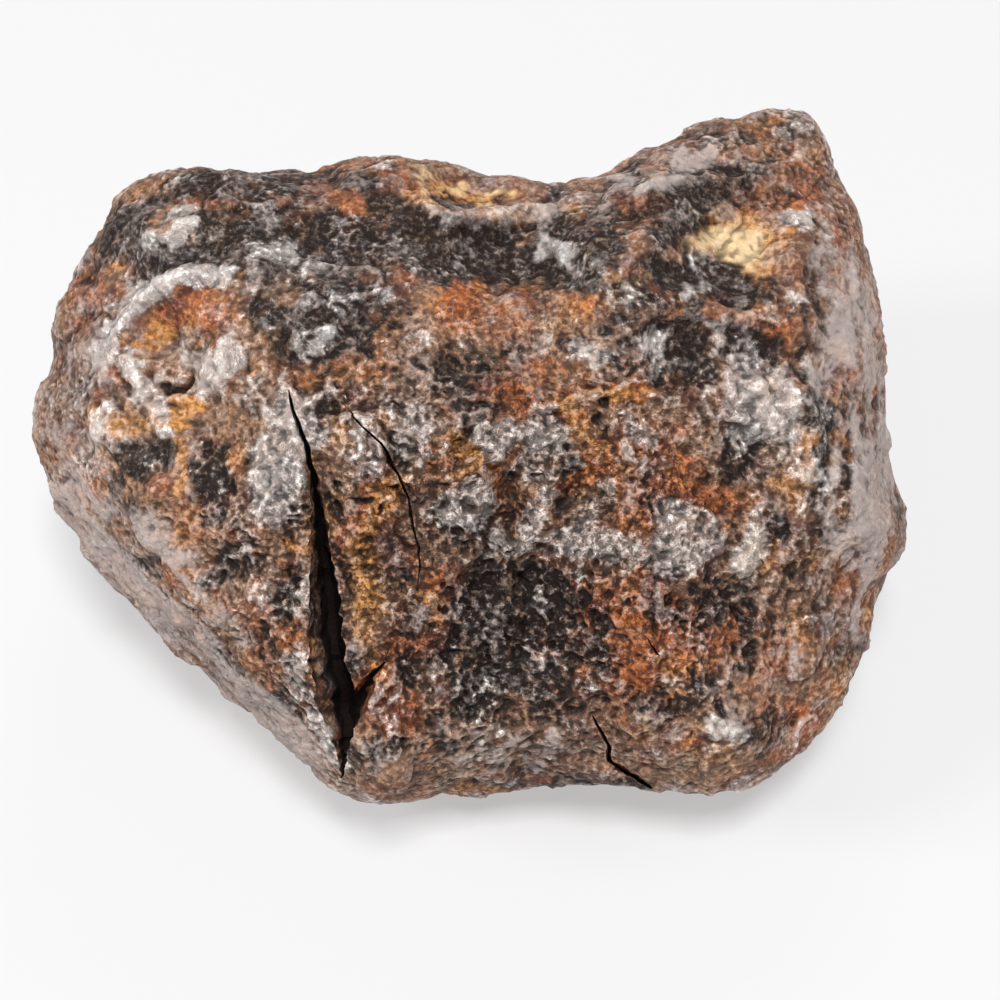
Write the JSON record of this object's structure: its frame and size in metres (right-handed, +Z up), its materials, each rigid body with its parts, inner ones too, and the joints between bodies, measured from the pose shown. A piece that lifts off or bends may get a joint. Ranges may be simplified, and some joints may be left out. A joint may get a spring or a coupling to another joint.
{
  "type": "meteorite",
  "caption": "Weathered iron meteorite, a rusty lump with a broad cracked face, resting on a worn flat side.",
  "frame": {"origin": "middle of the underside of the lump's box, on the surface that it rests on", "axes": "+Z up; +X along the longest way of the lump, to the right of the cracked broad face, which looks up and towards -Y"},
  "size_m": [0.0498, 0.0396, 0.0279],
  "materials": {
    "rusted_iron": "weathered iron with dark oxide skin, brown and orange rust and worn bright spots"
  },
  "bodies": {
    "root": {"meteorite": "rusted_iron"}
  },
  "joints": []
}
